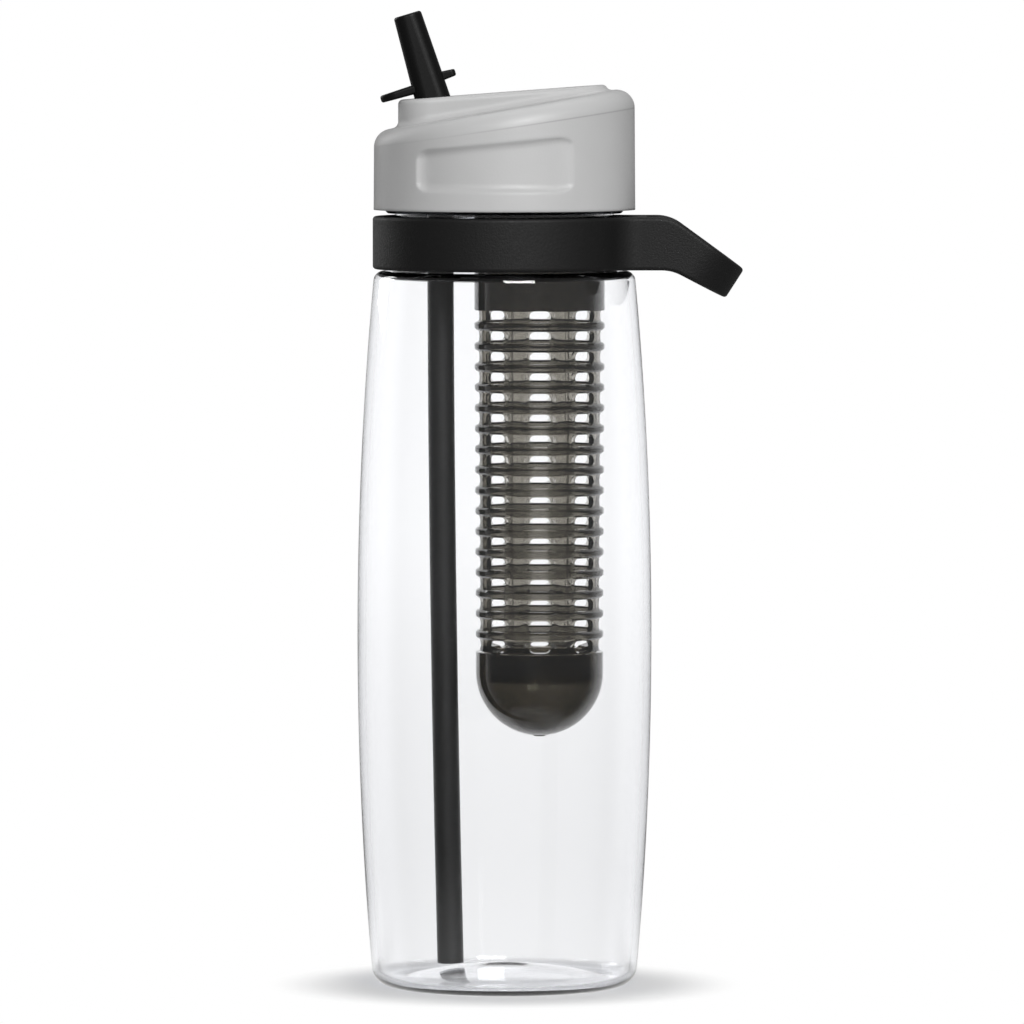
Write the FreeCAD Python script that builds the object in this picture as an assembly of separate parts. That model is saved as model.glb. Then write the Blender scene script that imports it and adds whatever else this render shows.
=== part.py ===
import FreeCAD, Part
import math
import os

V = FreeCAD.Vector
UP = V(0, 0, 1)
ALONG_Y = V(0, 1, 0)
ORIGIN = V(0, 0, 0)

# Faces that meet at less than this angle count as one smooth surface
smooth_angle_deg = 5.0

# Points closer than this count as one place
same_place = 0.02

# Bottle: barrel-shaped clear body, standing on z = 0 with its axis on Z
body_height = 189.8
shoulder_width = 2.9
belly_bulge = 4.3
belly_height = 88.0
foot_taper = 3.8
foot_height = 4.0
heel_round = 4.6
shoulder_round = 2.4
body_wall = 2.0
floor_thickness = 2.2
dome_rise = 3.4
dome_radius = 27.0
dimple_radius = 6.0
dimple_depth = 0.6

# Neck and its thread
neck_bore = 27.8
finish_wall = 1.2
thread_depth = 1.0
thread_pitch = 4.0
thread_turns = 1.75
thread_root_width = 2.0
thread_crest_width = 1.0
thread_start_above_cap = 3.2
land_step = 2.8
land_height = 14.1
land_chamfer = 0.8
rim_above_cap = 12.9
thread_overlap = 0.15

# Carry ring and its finger loop
ring_wall = 2.6
ring_height = 14.0
ring_slip = 0.5
ring_seat_gap = 0.5
ring_edge_round = 0.9
loop_bend_x = 44.1
loop_length = 20.0
loop_droop_deg = 32.7
loop_end_height = 9.0
loop_bend_round = 11.0
loop_half_width = 16.0
loop_band = 4.4
loop_corner_round = 13.0
loop_root_round = 9.0
loop_hole_gap = 3.0
loop_hole_round = 0.8

# Inner cap, which carries the lid's thread
cap_ring_gap = 0.8
cap_wall = 1.5
cap_chamfer = 0.9
cap_show = 0.9
thread_clearance = 0.35
deck_thickness = 1.9
gasket_thickness = 1.6
gasket_overlap_in = 0.5
gasket_overlap_out = 0.6

# Lid shell
shell_wall = 2.75
shell_fit = 0.05
shell_draft = 0.4
shell_top_wall = 2.0
shell_ledge = 1.6
shoulder_slope_deg = 9.9
shoulder_over_base = 26.65
shoulder_edge_round = 4.8
turret_left = 28.1
turret_right = 26.6
turret_over_base = 31.1
turret_slope_deg = 4.25
turret_corner_round = 8.0
turret_edge_round = 1.2
turret_foot_round = 2.0
grip_left = 23.2
grip_right = 18.4
grip_bottom = 5.0
grip_top_left = 16.2
grip_top_right = 20.2
grip_depth_left = 1.5
grip_depth_right = 1.2
grip_flank = 1.1
grip_corner = 3.0
grip_left_slope = 2.8
grip_right_slope = 4.5
grip_floor_round = 2.4
grip_reach = 0.6
grip_stations = 7
grip_end_stations = 5

# Spout and its channel
spout_lean_deg = 16.8
spout_pivot_depth = 5.4
spout_length = 28.5
spout_root_thick = 9.7
spout_tip_thick = 7.4
spout_root_width = 12.8
spout_tip_width = 10.8
spout_corner_round = 3.2
spout_tip_round = 0.7
barrel_radius = 5.4
barrel_width = 13.8
trunnion_radius = 2.0
trunnion_length = 2.2
trunnion_clearance = 0.06
trunnion_end_gap = 0.3
cheek = 3.8
channel_side_gap = 0.3
channel_left_gap = 1.6
channel_floor_gap = 0.6
channel_floor_wall = 1.4
channel_tip_gap = 2.0
channel_ramp = 4.0
spout_bore = 2.2
port_bore = 1.8
thumb_along = 8.9
thumb_reach = 13.2
thumb_root_thick = 2.7
thumb_tip_thick = 1.9
thumb_width = 10.0
thumb_plan_round = 4.0
thumb_edge_round = 0.66
nib_along = 10.2
nib_reach = 7.8
nib_root_thick = 3.2
nib_tip_thick = 1.8
nib_width = 5.6
nib_plan_round = 1.1
nib_edge_round = 0.5
nib_slot_gap = 1.2

# Spout seal and vent valve
seal_radius = 4.1
seal_land_height = 4.9
seal_press_gap = 0.05
seal_wall_gap = 0.05
seat_wall = 1.3
seat_height = 2.4
vent_x = -2.0
vent_y = 21.4
vent_stem = 1.2
vent_stem_gap = 0.08
vent_disc = 3.6
vent_disc_thick = 0.8
vent_bulb = 1.9
vent_bulb_height = 1.6
vent_hole = 0.6
vent_hole_circle = 2.3
vent_hole_count = 4

# Straw
straw_radius = 3.5
straw_wall = 0.7
straw_bow_radius = 8500.0
straw_floor_gap = 3.7
straw_pivot_offset = 0.5
straw_basket_gap = 5.5
straw_fit = 0.05
socket_wall = 1.4
socket_depth = 11.0
socket_stop = 1.2

# Infuser basket
basket_neck_gap = 1.2
basket_radius = 17.3
basket_taper = 0.4
basket_wall = 0.7
collar_wall = 1.9
rib_proud = 0.8
rib_height = 2.2
rib_chamfer = 0.5
row_count = 17
row_pitch = 5.45
first_row_below_deck = 41.6
collar_below_first_row = 1.4
collar_top_gap = 2.3
slot_columns = 8
slot_width = 5.6
slot_height = 3.1
slot_land = 1.4
slot_land_depth = 0.65
lug_count = 3
lug_span_deg = 38.0
lug_height = 1.5
lug_gap = 0.3
lug_clearance = 0.4
lug_engage = 0.6
boss_wall = 1.5
boss_foot = 1.0
lug_below_collar_top = 2.4
stop_span_deg = 4.0
stop_gap_deg = 1.0

# Infuser cup
cup_radius = 16.9
cup_wall = 1.7
cup_skirt = 5.4
cup_top_gap = 0.4
cup_below_last_row = 2.0
spigot_wall = 1.2
spigot_length = 8.1
spigot_lug_lift = 0.5
gate_radius = 1.6
gate_height = 0.15

# Places that follow from the sizes above
neck_root = neck_bore + finish_wall
thread_crest = neck_root + thread_depth
land_radius = neck_root + land_step
land_bore = land_radius - body_wall
shoulder_radius = land_radius + shoulder_width
belly_radius = shoulder_radius + belly_bulge
foot_radius = belly_radius - foot_taper
land_top = body_height + land_height

ring_bore = land_radius + ring_slip
ring_outer = ring_bore + ring_wall
ring_bottom = body_height + ring_seat_gap
ring_top = ring_bottom + ring_height

cap_bottom = ring_top + cap_ring_gap
cap_bore = thread_crest + thread_clearance
cap_outer = cap_bore + cap_wall
rim_z = cap_bottom + rim_above_cap
deck_under = rim_z + gasket_thickness
deck_top = deck_under + deck_thickness
thread_start = cap_bottom + thread_start_above_cap

lid_base = cap_bottom + cap_show
lid_bore = cap_outer + shell_fit
lid_radius = lid_bore + shell_wall

turret_slope = math.radians(turret_slope_deg)
shoulder_slope = math.radians(shoulder_slope_deg)
barrel_half = barrel_width / 2
channel_half = barrel_half + channel_side_gap
turret_half = channel_half + cheek

basket_x = neck_bore - basket_radius - basket_neck_gap
straw_x = basket_x - basket_radius - straw_basket_gap - straw_radius
pivot_x = straw_x - straw_pivot_offset
socket_bore = straw_radius + straw_fit
socket_outer = socket_bore + socket_wall
straw_top = deck_under - socket_stop
straw_bore = straw_radius - straw_wall

boss_outer = basket_radius - collar_wall - lug_clearance - lug_engage - lug_clearance
first_row = deck_under - first_row_below_deck
last_row = first_row - (row_count - 1) * row_pitch
collar_bottom = first_row + collar_below_first_row
collar_top = deck_under - collar_top_gap
cup_top = last_row - cup_below_last_row
spigot_bottom = cup_top + cup_top_gap - spigot_length


def shoulder_z(x):
    return lid_base + shoulder_over_base + x * math.tan(shoulder_slope)


def turret_z(x):
    return lid_base + turret_over_base + x * math.tan(turret_slope)


pivot_z = turret_z(pivot_x) - spout_pivot_depth


def floor_z(x):
    drop = (barrel_radius + channel_floor_gap) / math.cos(turret_slope)
    return pivot_z + (x - pivot_x) * math.tan(turret_slope) - drop


def path_wire(path):
    """Closed wire in the XZ plane; an entry of two points is an arc through the first to the second."""
    edges = []
    here = path[0]
    for step in path[1:] + path[:1]:
        if isinstance(step[0], tuple):
            mid, end = step
            arc = Part.Arc(V(here[0], 0, here[1]), V(mid[0], 0, mid[1]), V(end[0], 0, end[1]))
            edges.append(arc.toShape())
            here = end
        else:
            edges.append(Part.makeLine(V(here[0], 0, here[1]), V(step[0], 0, step[1])))
            here = step
    return Part.Wire(edges)


def spun(path):
    return Part.Face(path_wire(path)).revolve(ORIGIN, UP, 360)


def side_prism(path, half):
    face = Part.Face(path_wire(path))
    face.translate(V(0, -half, 0))
    return face.extrude(V(0, 2 * half, 0))


def tube(outer, inner, low, high, x=0.0, y=0.0):
    body = Part.makeCylinder(outer, high - low, V(x, y, low))
    return body.cut(Part.makeCylinder(inner, high - low, V(x, y, low)))


def rod(radius, low, high, x=0.0, y=0.0):
    return Part.makeCylinder(radius, high - low, V(x, y, low))


def slab(x0, x1, y0, y1, z0, z1):
    return Part.makeBox(x1 - x0, y1 - y0, z1 - z0, V(x0, y0, z0))


def rounded_plan(x0, x1, half, round_left, round_right, low, high):
    """Upright prism with a rectangular plan whose end corners are rounded."""
    block = slab(x0, x1, -half, half, low, high)
    for x, radius in ((x0, round_left), (x1, round_right)):
        if radius > 0:
            near = same_place
            ends = edges_where(
                block, lambda b: b.ZLength > high - low - near and b.XLength < near and abs(b.XMin - x) < near
            )
            block = block.makeFillet(radius, ends)
    return block


def arc_block(inner, outer, low, high, start_deg, span_deg):
    """Part of a ring between two radii, as a lug or stop has."""
    path = [(inner, low), (outer, low), (outer, high), (inner, high)]
    block = Part.Face(path_wire(path)).revolve(ORIGIN, UP, span_deg)
    block.rotate(ORIGIN, UP, start_deg)
    return block


def thread(radius, outward, start, turns):
    """Right-hand trapezoid thread on a cylinder, its middle starting at the height given."""
    root = radius - outward * thread_overlap
    crest = radius + outward * thread_depth
    helix = Part.makeHelix(thread_pitch, turns * thread_pitch, radius)
    corners = [
        V(root, 0, -thread_root_width / 2),
        V(crest, 0, -thread_crest_width / 2),
        V(crest, 0, thread_crest_width / 2),
        V(root, 0, thread_root_width / 2),
    ]
    section = Part.makePolygon(corners + corners[:1])
    ridge = Part.Wire(helix).makePipeShell([section], True, True)
    ridge.translate(V(0, 0, start))
    return ridge


def edges_where(shape, test):
    return [edge for edge in shape.Edges if test(edge.BoundBox)]


def sharp_edges(shape):
    """Edges where two faces meet at an angle, so not the seams of smooth faces."""
    found = []
    for edge in shape.Edges:
        point = edge.valueAt((edge.FirstParameter + edge.LastParameter) / 2)
        normals = []
        for face in shape.ancestorsOfType(edge, Part.Face):
            u, v = face.Surface.parameter(point)
            normals.append(face.normalAt(u, v))
        if len(normals) == 2 and normals[0].getAngle(normals[1]) > math.radians(smooth_angle_deg):
            found.append(edge)
    return found


def barrel_circle():
    """Middle and radius of the barrel's outer curve, through the foot, the belly and the shoulder."""
    arc = Part.Arc(
        V(foot_radius, 0, foot_height),
        V(belly_radius, 0, belly_height),
        V(shoulder_radius, 0, body_height - shoulder_round),
    )
    circle = arc.toShape().Curve
    return circle.Center.x, circle.Center.z, circle.Radius


def barrel_side(inset):
    """Point of the barrel's curve at the belly, moved in by an inset."""
    x, z, bend = barrel_circle()
    return x + math.sqrt((bend - inset) ** 2 - (belly_height - z) ** 2), belly_height


def barrel_corner(inset, level, radius, up):
    """Rounded corner between a level face and the barrel's curve: end on the face, middle, other end."""
    x, z, bend = barrel_circle()
    corner_z = level + up * radius
    corner_x = x + math.sqrt((bend - inset - radius) ** 2 - (corner_z - z) ** 2)
    outwards = V(corner_x - x, 0, corner_z - z).normalize()
    halfway = (outwards - up * UP).normalize()
    middle = (corner_x + radius * halfway.x, corner_z + radius * halfway.z)
    end = (corner_x + radius * outwards.x, corner_z + radius * outwards.z)
    return (corner_x, level), middle, end


def bottle_outside():
    heel, heel_middle, wall_low = barrel_corner(0, 0, heel_round, 1)
    shoulder, shoulder_middle, wall_high = barrel_corner(0, body_height, shoulder_round, -1)
    return spun([
        (0, 0),
        heel,
        (heel_middle, wall_low),
        (barrel_side(0), wall_high),
        (shoulder_middle, shoulder),
        (land_radius, body_height),
        (land_radius, land_top - land_chamfer),
        (land_radius - land_chamfer, land_top),
        (neck_root, land_top),
        (neck_root, rim_z),
        (0, rim_z),
    ])


def bottle_inside():
    roof = body_height - body_wall
    heel, heel_middle, wall_low = barrel_corner(body_wall, floor_thickness, heel_round - body_wall, 1)
    shoulder, shoulder_middle, wall_high = barrel_corner(body_wall, roof, shoulder_round - body_wall, -1)
    return spun([
        (0, floor_thickness),
        heel,
        (heel_middle, wall_low),
        (barrel_side(body_wall), wall_high),
        (shoulder_middle, shoulder),
        (land_bore, roof),
        (land_bore, land_top - body_wall),
        (neck_bore, land_top),
        (neck_bore, rim_z),
        (0, rim_z),
    ])


def base_dome(lift):
    """Lens under the base; lifted by the floor's thickness it is the dome seen inside."""
    curve = (dome_radius ** 2 + dome_rise ** 2) / (2 * dome_rise)
    middle = dome_radius / 2
    rise = math.sqrt(curve ** 2 - middle ** 2) - (curve - dome_rise)
    path = [(0, lift), (dome_radius, lift), ((middle, rise + lift), (0, dome_rise + lift))]
    return spun(path)


def make_bottle_body():
    inside = bottle_inside().cut(base_dome(floor_thickness))
    dimple = dome_rise + floor_thickness - dimple_depth
    inside = inside.fuse(rod(dimple_radius, dimple, dimple + 2 * dimple_depth))
    body = bottle_outside().fuse(thread(neck_root, 1, thread_start, thread_turns))
    body = body.cut(inside).cut(base_dome(0))
    return body.removeSplitter()


def loop_side():
    """Side outline of the ring with its loop, which bends down and narrows."""
    droop = math.radians(loop_droop_deg)
    end_x = loop_bend_x + loop_length * math.cos(droop)
    end_z = (ring_bottom + ring_top) / 2 - loop_length * math.sin(droop)
    across_x = loop_end_height / 2 * math.sin(droop)
    across_z = loop_end_height / 2 * math.cos(droop)
    path = [
        (-2 * ring_outer, ring_bottom),
        (loop_bend_x, ring_bottom),
        (end_x - across_x, end_z - across_z),
        (end_x + across_x, end_z + across_z),
        (loop_bend_x, ring_top),
        (-2 * ring_outer, ring_top),
    ]
    prism = side_prism(path, 2 * ring_outer)
    near = same_place
    bend = edges_where(prism, lambda b: abs(b.XMin - loop_bend_x) < near and b.XLength < near)
    return prism.makeFillet(loop_bend_round, bend)


def drooping(end, half, corner):
    """Prism with a rounded end, square to the part of the loop that bends down."""
    far = 2 * loop_length
    prism = rounded_plan(-loop_length, end, half, 0, corner, -far, far)
    prism.rotate(ORIGIN, ALONG_Y, loop_droop_deg)
    prism = prism.common(slab(0, far, -half, half, -far, far))
    prism.translate(V(loop_bend_x, 0, (ring_bottom + ring_top) / 2))
    return prism


def flat_lying(edges):
    """Edges that run level or slope no more than the drooping loop."""
    steepest = math.sin(math.radians(loop_droop_deg + smooth_angle_deg))
    found = []
    for edge in edges:
        along = edge.tangentAt((edge.FirstParameter + edge.LastParameter) / 2)
        if abs(along.z) < steepest:
            found.append(edge)
    return found


def make_carry_ring():
    low = ring_bottom - 2 * loop_length
    high = ring_top + ring_height
    plan = rod(ring_outer, low, high).fuse(slab(0, loop_bend_x, -loop_half_width, loop_half_width, low, high))
    near = same_place
    root_x = math.sqrt(ring_outer ** 2 - loop_half_width ** 2)
    roots = edges_where(
        plan,
        lambda b: abs(b.XMin - root_x) < near and b.XLength < near and b.ZLength > high - low - near,
    )
    plan = plan.makeFillet(loop_root_round, roots)
    plan = plan.fuse(drooping(loop_length, loop_half_width, loop_corner_round))
    ring = plan.common(loop_side()).removeSplitter()
    ring = ring.makeFillet(ring_edge_round, flat_lying(sharp_edges(ring)))
    hole_left = ring_outer + loop_hole_gap
    hole_half = loop_half_width - loop_band
    hole = rounded_plan(hole_left, loop_bend_x, hole_half, loop_band, 0, low, high)
    hole = hole.fuse(drooping(loop_length - loop_band, hole_half, loop_corner_round - loop_band))
    ring = ring.cut(hole.removeSplitter())
    rims = [edge for edge in flat_lying(sharp_edges(ring)) if edge.BoundBox.XMin > ring_outer]
    ring = ring.makeFillet(loop_hole_round, rims)
    return ring.cut(rod(ring_bore, low, high))


def above_plane(height_at, lower=0.0):
    """Everything over a plane that slopes along X, which trims the lid's upper faces."""
    far = 2 * lid_radius
    sky = lid_base + 2 * far
    path = [(-far, height_at(-far) - lower), (far, height_at(far) - lower), (far, sky), (-far, sky)]
    return side_prism(path, far)


def turret_plan(low, high):
    """Upright prism with the spout housing's plan."""
    return rounded_plan(
        -turret_left, turret_right, turret_half, turret_corner_round, turret_corner_round, low, high
    )


def edges_on(shape, height_at, reach):
    """Edges that lie on a sloping plane, within the spout housing's plan grown by a reach."""
    left = -turret_left - reach - same_place
    right = turret_right + reach + same_place
    side = turret_half + reach + same_place
    found = []
    for edge in shape.Edges:
        middle = (edge.FirstParameter + edge.LastParameter) / 2
        points = [edge.valueAt(t) for t in (edge.FirstParameter, middle, edge.LastParameter)]
        on_plane = all(abs(p.z - height_at(p.x)) < same_place for p in points)
        in_plan = all(left < p.x < right and abs(p.y) < side for p in points)
        if on_plane and in_plan:
            found.append(edge)
    return found


def lid_outside():
    high = lid_base + 2 * turret_over_base
    body = Part.makeCone(lid_radius, lid_radius - shell_draft, high - lid_base, V(0, 0, lid_base))
    body = body.cut(above_plane(shoulder_z))
    rim = edges_where(body, lambda b: b.ZLength > shell_draft and b.YLength > lid_radius)
    body = body.makeFillet(shoulder_edge_round, rim)
    body = body.fuse(turret_plan(deck_top, high))
    body = body.makeFillet(turret_foot_round, edges_on(body, shoulder_z, 0))
    body = body.cut(above_plane(turret_z))
    return body.makeFillet(turret_edge_round, edges_on(body, turret_z, turret_foot_round))


def grip_section(x, depth, shrink=0.0):
    """Section of the grip's cutter in the radial plane through a point of the wall."""
    turn = math.asin(x / lid_radius)
    rise = (grip_top_right - grip_top_left) / (grip_left + grip_right)
    low = lid_base + grip_bottom + shrink
    high = lid_base + grip_top_left + (x + grip_left) * rise - shrink
    slope = math.atan2(1, grip_flank)
    bend = grip_floor_round * (depth + grip_reach) / (grip_depth_left + grip_reach)
    run = bend * math.tan(slope / 2)
    sag = bend * (1 - math.cos(slope / 2))

    def corner(deep, inset, side):
        radius = lid_radius - deep
        z = high - inset if side else low + inset
        return V(radius * math.sin(turn), -radius * math.cos(turn), z)

    wall = (depth - run * math.sin(slope), (depth - run * math.sin(slope)) * grip_flank)
    middle = (depth - sag, depth * grip_flank + run - bend * math.sin(slope / 2))
    floor = (depth, depth * grip_flank + run)
    mouth = (-grip_reach, -grip_reach * grip_flank)
    return Part.Wire([
        Part.makeLine(corner(*mouth, 0), corner(*mouth, 1)),
        Part.makeLine(corner(*mouth, 1), corner(*wall, 1)),
        Part.Arc(corner(*wall, 1), corner(*middle, 1), corner(*floor, 1)).toShape(),
        Part.makeLine(corner(*floor, 1), corner(*floor, 0)),
        Part.Arc(corner(*floor, 0), corner(*middle, 0), corner(*wall, 0)).toShape(),
        Part.makeLine(corner(*wall, 0), corner(*mouth, 0)),
    ])


def grip_end(edge, length, depth):
    """Loft of one end of the grip, round in its corners and sloping down to the floor."""
    outside = grip_reach / 2
    sections = []
    for k in range(grip_end_stations):
        turn = math.pi / 2 * k / (grip_end_stations - 1)
        sink = (depth + outside) * math.sin(turn) - outside
        shrink = grip_corner * (1 - math.sin(turn))
        sections.append(grip_section(edge + length * (1 - math.cos(turn)), sink, shrink))
    return Part.makeLoft(sections, True, True)


def grip_recess():
    """Shallow scoop in the lid's side with sloping walls, for the thumb."""
    floor_left = -grip_left + grip_left_slope
    floor_right = grip_right - grip_right_slope
    floor = []
    for k in range(grip_stations):
        share = k / (grip_stations - 1)
        x = floor_left + (floor_right - floor_left) * share
        floor.append(grip_section(x, grip_depth_left + (grip_depth_right - grip_depth_left) * share))
    recess = Part.makeLoft(floor, True, False)
    recess = recess.fuse(grip_end(-grip_left, grip_left_slope, grip_depth_left))
    return recess.fuse(grip_end(grip_right, -grip_right_slope, grip_depth_right))


def channel_end():
    return pivot_x + spout_length + channel_tip_gap


def channel_cut():
    """Open trough that the folded spout lies in, with a finger ramp at its far end."""
    left = pivot_x - barrel_radius - channel_left_gap
    end = channel_end()
    sky = lid_base + 2 * turret_over_base
    path = [
        (left, floor_z(left)),
        (end, floor_z(end)),
        (end + channel_ramp, turret_z(end)),
        (end + channel_ramp, sky),
        (left, sky),
    ]
    return side_prism(path, channel_half)


def channel_block():
    """Walls and floor round the trough, inside the lid."""
    end = channel_end() + channel_floor_wall
    path = [
        (-turret_left, floor_z(-turret_left) - channel_floor_wall),
        (end, floor_z(end) - channel_floor_wall),
        (end + channel_ramp, turret_z(end)),
        (-turret_left, turret_z(end)),
    ]
    return side_prism(path, lid_radius).common(turret_plan(deck_top, lid_base + 2 * turret_over_base))


def nib_slot():
    left = pivot_x + nib_along - nib_root_thick / 2 - nib_slot_gap
    right = pivot_x + nib_along + nib_root_thick / 2 + nib_slot_gap
    half = nib_width / 2 + channel_side_gap
    return slab(left, right, -half, half, deck_top, pivot_z)


def make_lid_shell():
    grip = grip_recess()
    shell = lid_outside().cut(grip).cut(grip.mirror(ORIGIN, ALONG_Y))
    high = lid_base + 2 * turret_over_base
    hollow = rod(lid_bore - shell_ledge, deck_top, high)
    hollow = hollow.cut(above_plane(shoulder_z, shell_top_wall)).cut(channel_block())
    sockets = Part.makeCylinder(
        trunnion_radius + trunnion_clearance,
        2 * (barrel_half + trunnion_length + trunnion_end_gap),
        V(pivot_x, -barrel_half - trunnion_length - trunnion_end_gap, pivot_z),
        ALONG_Y,
    )
    seat_window = rod(seal_radius + seal_wall_gap + seat_wall + channel_side_gap, deck_top, pivot_z, pivot_x)
    for tool in (
        rod(lid_bore, lid_base - shell_wall, deck_top),
        hollow,
        channel_cut(),
        sockets,
        seat_window,
        nib_slot(),
    ):
        shell = shell.cut(tool)
    return shell


def lug_tops():
    """Top of the basket's lugs and top of the lugs on the cap's boss that hold them up."""
    held = collar_top - lug_below_collar_top
    return held, held - lug_height - lug_gap


def holding_lugs(root, reach, top, stop_top):
    """Ring of lugs that carry a twist-on piece, each with a stop at its end."""
    lugs = []
    for k in range(lug_count):
        turn = k * 360 / lug_count - lug_span_deg / 2
        lugs.append(arc_block(root, reach, top - lug_height, top, turn, lug_span_deg))
        stop = turn - stop_gap_deg - stop_span_deg
        lugs.append(arc_block(root, reach, top - lug_height, stop_top, stop, stop_span_deg))
    return lugs


def held_lugs(reach, root, low):
    """Ring of lugs that hang on the holding ones."""
    lugs = []
    for k in range(lug_count):
        turn = k * 360 / lug_count - lug_span_deg / 2
        lugs.append(arc_block(reach, root, low, low + lug_height, turn, lug_span_deg))
    return lugs


def infuser_boss():
    """Bayonet boss under the deck, with lugs and stops."""
    held, holding = lug_tops()
    boss = tube(boss_outer, boss_outer - boss_wall, holding - lug_height - boss_foot, deck_under)
    reach = boss_outer + lug_clearance + lug_engage
    boss = boss.fuse(holding_lugs(boss_outer - boss_wall / 2, reach, holding, held))
    boss.translate(V(basket_x, 0, 0))
    return boss


def make_inner_cap():
    cap = rod(cap_outer, cap_bottom, deck_top)
    foot = edges_where(cap, lambda b: b.ZMax < cap_bottom + cap_chamfer and b.YLength > cap_outer)
    cap = cap.makeChamfer(cap_chamfer, foot)
    cap = cap.cut(rod(cap_bore, cap_bottom, deck_under))
    cap = cap.fuse(thread(cap_bore, -1, thread_start - thread_pitch / 2, thread_turns))
    cap = cap.fuse(infuser_boss())
    cap = cap.fuse(rod(socket_outer, straw_top - socket_depth, deck_under, straw_x))
    seat = seal_radius + seal_wall_gap
    cap = cap.fuse(tube(seat + seat_wall, seat, deck_top, deck_top + seat_height, pivot_x))
    cap = cap.cut(rod(socket_bore, straw_top - socket_depth, straw_top, straw_x))
    cap = cap.cut(rod(port_bore, straw_top, deck_top, (straw_x + pivot_x) / 2))
    cap = cap.cut(rod(vent_stem + vent_stem_gap, deck_under, deck_top, vent_x, vent_y))
    for k in range(vent_hole_count):
        turn = 2 * math.pi * k / vent_hole_count
        x = vent_x + vent_hole_circle * math.cos(turn)
        y = vent_y + vent_hole_circle * math.sin(turn)
        cap = cap.cut(rod(vent_hole, deck_under, deck_top, x, y))
    return cap


def make_lid_gasket():
    return tube(neck_root + gasket_overlap_out, neck_bore - gasket_overlap_in, rim_z, deck_under)


def make_spout_seal():
    seal = rod(seal_radius, deck_top, pivot_z - seal_land_height, pivot_x)
    saddle = Part.makeCylinder(
        barrel_radius + seal_press_gap, 2 * barrel_width, V(pivot_x, -barrel_width, pivot_z), ALONG_Y
    )
    return seal.cut(saddle).cut(rod(port_bore, deck_top, pivot_z, pivot_x))


def make_vent_valve():
    disc = rod(vent_disc, deck_under - vent_disc_thick, deck_under)
    stem = rod(vent_stem, deck_under, deck_top)
    bulb = Part.makeCone(vent_bulb, vent_stem / 2, vent_bulb_height, V(0, 0, deck_top))
    valve = disc.fuse(stem).fuse(bulb)
    valve.translate(V(vent_x, vent_y, 0))
    return valve


def rounded_rectangle(half_x, half_y, radius, z):
    """Closed wire of four sides and four corner arcs at one height."""
    edges = []
    inner_x = half_x - radius
    inner_y = half_y - radius
    bulge = radius * math.sqrt(0.5)
    for k, (sx, sy) in enumerate([(1, 1), (-1, 1), (-1, -1), (1, -1)]):
        side = V(sx * half_x, sy * inner_y, z)
        end = V(sx * inner_x, sy * half_y, z)
        mid = V(sx * (inner_x + bulge), sy * (inner_y + bulge), z)
        first, last = (side, end) if k % 2 == 0 else (end, side)
        edges.append((first, mid, last))
    wire = []
    for k, (first, mid, last) in enumerate(edges):
        wire.append(Part.Arc(first, mid, last).toShape())
        wire.append(Part.makeLine(last, edges[(k + 1) % len(edges)][0]))
    return Part.Wire(wire)


def spout_tab(sign, along, reach, root, tip, width, plan_round, edge_round):
    """Tab that stands out across the stem, thinner and rounded at its end."""
    path = [
        (0, along - root / 2),
        (sign * reach, along - tip / 2),
        (sign * reach, along + tip / 2),
        (0, along + root / 2),
    ]
    tab = side_prism(path, width / 2)
    near = same_place
    ends = edges_where(tab, lambda b: b.XLength < near and b.YLength < near and abs(b.Center.x) > reach / 2)
    tab = tab.makeFillet(plan_round, ends)
    rims = edges_where(tab, lambda b: b.ZLength < root / 2 and abs(b.Center.x) > near)
    return tab.makeFillet(edge_round, rims)


def make_spout():
    root = rounded_rectangle(spout_root_thick / 2, spout_root_width / 2, spout_corner_round, 0)
    tip = rounded_rectangle(spout_tip_thick / 2, spout_tip_width / 2, spout_corner_round, spout_length)
    stem = Part.makeLoft([root, tip], True, True)
    rim = edges_where(stem, lambda b: b.ZMin > spout_length - spout_tip_round / 2)
    stem = stem.makeFillet(spout_tip_round, rim)
    barrel = Part.makeCylinder(barrel_radius, barrel_width, V(0, -barrel_half, 0), ALONG_Y)
    shaft = barrel_half + trunnion_length
    trunnions = Part.makeCylinder(trunnion_radius, 2 * shaft, V(0, -shaft, 0), ALONG_Y)
    thumb = spout_tab(
        -1,
        thumb_along,
        thumb_reach,
        thumb_root_thick,
        thumb_tip_thick,
        thumb_width,
        thumb_plan_round,
        thumb_edge_round,
    )
    nib = spout_tab(
        1,
        nib_along,
        nib_reach,
        nib_root_thick,
        nib_tip_thick,
        nib_width,
        nib_plan_round,
        nib_edge_round,
    )
    spout = stem.fuse(barrel).fuse(trunnions).fuse(thumb).fuse(nib)
    spout = spout.cut(Part.makeCylinder(spout_bore, spout_length, ORIGIN, UP))
    spout.rotate(ORIGIN, ALONG_Y, -spout_lean_deg)
    spout.translate(V(pivot_x, 0, pivot_z))
    return spout.cut(rod(port_bore, pivot_z - 2 * barrel_radius, pivot_z, pivot_x))


def make_straw():
    """Tube with a slight bow, upright where it enters its socket."""
    bottom = floor_thickness + straw_floor_gap
    turn = math.degrees(math.asin((straw_top - bottom) / straw_bow_radius))
    tubes = []
    for radius in (straw_radius, straw_bore):
        section = Part.Face(Part.Wire(Part.makeCircle(radius, V(straw_x, 0, straw_top))))
        tubes.append(section.revolve(V(straw_x + straw_bow_radius, 0, straw_top), -ALONG_Y, turn))
    return tubes[0].cut(tubes[1])


def basket_outer(z):
    """Radius over the ribs, which shrinks a little downwards."""
    return basket_radius - basket_taper * (collar_bottom - z) / (collar_bottom - cup_top)


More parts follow.
